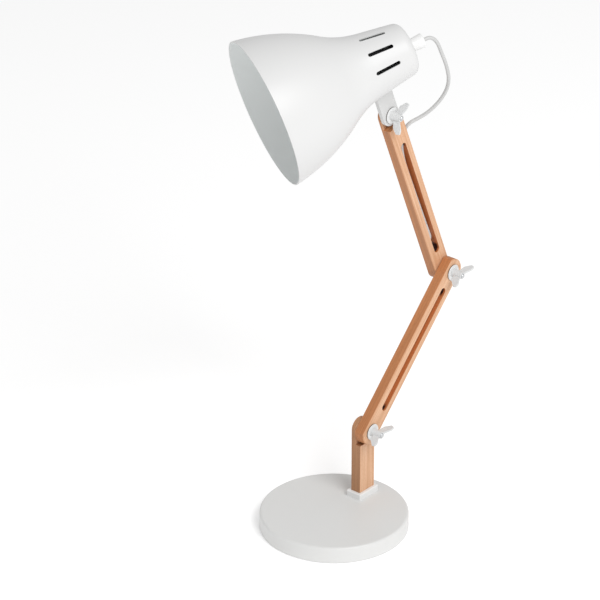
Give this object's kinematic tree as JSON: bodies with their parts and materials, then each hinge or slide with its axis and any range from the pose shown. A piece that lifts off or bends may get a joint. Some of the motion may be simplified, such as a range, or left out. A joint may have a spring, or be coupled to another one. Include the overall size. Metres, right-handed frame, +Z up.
{
  "type": "architect desk lamp",
  "caption": "Jointed desk lamp: round weighted base, wooden post and two wooden arms held by wing nuts, and a white bell shade on a swivelling bracket.",
  "frame": {"origin": "middle of the underside of the round base", "axes": "+Z up, +X from the middle of the base towards the post, so the arms swing in planes parallel to XZ, -Y the front, where the wing nuts are"},
  "size_m": [0.2823, 0.215, 0.5592],
  "materials": {
    "white_enamel": "satin",
    "white_shade": "satin",
    "white_metal": "gloss",
    "white_plastic": "satin",
    "holder_plastic": "gloss",
    "cast_iron": "matte",
    "foam_rubber": "matte",
    "zinc_steel": "satin",
    "nylon": "matte",
    "beech": "satin",
    "nickelled_brass": "satin",
    "brass": "satin",
    "cord_jacket": "satin"
  },
  "bodies": {
    "base": {"base_cover": "white_enamel", "base_weight": "cast_iron", "base_pad": "foam_rubber", "cover_screws": "zinc_steel", "post_screws": "zinc_steel", "lead_gland": "white_plastic", "post_collar": "white_plastic", "post": "beech", "post_bolt": "zinc_steel", "post_friction_washer": "nylon", "cord_in_base": "cord_jacket", "cord_at_post": "cord_jacket"},
    "lower_arm": {"lower_arm": "beech", "post_washer": "white_metal", "elbow_washer": "white_metal", "elbow_friction_washer": "nylon", "cord_in_lower_arm": "cord_jacket", "cord_at_elbow": "cord_jacket"},
    "upper_arm": {"upper_arm": "beech", "elbow_bolt": "zinc_steel", "head_bolt": "zinc_steel", "head_friction_washer": "nylon", "cord_in_upper_arm": "cord_jacket", "cord_loop_lower": "cord_jacket"},
    "head_bracket": {"head_bracket": "white_enamel", "head_washer": "white_metal", "swivel_screw": "zinc_steel"},
    "shade": {"shade": "white_shade", "swivel_saddle": "white_plastic", "swivel_seat_block": "white_plastic", "swivel_spring_washer": "zinc_steel", "holder_nipple": "zinc_steel", "nipple_nut": "zinc_steel", "holder_cap": "holder_plastic", "holder_barrel": "holder_plastic", "threaded_sleeve": "nickelled_brass", "centre_contact": "brass", "cord_grip": "white_plastic", "cord_in_holder": "cord_jacket", "cord_loop_upper": "cord_jacket"},
    "post_wing_nut": {"post_wing_nut": "white_metal"},
    "elbow_wing_nut": {"elbow_wing_nut": "white_metal"},
    "head_wing_nut": {"head_wing_nut": "white_metal"}
  },
  "joints": [
    {"name": "lower_arm_hinge", "type": "hinge", "parent": "base", "child": "lower_arm", "pos_m": [0.048, 0, 0.0985], "axis": [0, -1, 0], "range_deg": [-20, 60], "deforming": ["cord_at_post"]},
    {"name": "elbow_hinge", "type": "hinge", "parent": "lower_arm", "child": "upper_arm", "pos_m": [0.18363, 0, 0.23651], "axis": [0, 1, 0], "range_deg": [-78, 65], "deforming": ["cord_at_elbow"]},
    {"name": "head_tilt", "type": "hinge", "parent": "upper_arm", "child": "head_bracket", "pos_m": [0.09487, 0, 0.4487], "axis": [0, -1, 0], "range_deg": [-75, 75], "deforming": ["cord_loop_lower"]},
    {"name": "head_swivel", "type": "hinge", "parent": "head_bracket", "child": "shade", "pos_m": [0.09487, 0.0061, 0.4487], "axis": [-0.3859, 0, 0.9225], "range_deg": [-32.5, 87.5], "deforming": ["cord_loop_upper"]},
    {"name": "post_wing_nut_turn", "type": "hinge", "parent": "base", "child": "post_wing_nut", "pos_m": [0.048, 0, 0.0985], "axis": [0, -1, 0], "continuous": true},
    {"name": "elbow_wing_nut_turn", "type": "hinge", "parent": "upper_arm", "child": "elbow_wing_nut", "pos_m": [0.18363, 0, 0.23651], "axis": [0, -1, 0], "continuous": true},
    {"name": "head_wing_nut_turn", "type": "hinge", "parent": "upper_arm", "child": "head_wing_nut", "pos_m": [0.09487, 0, 0.4487], "axis": [0, -1, 0], "continuous": true}
  ]
}
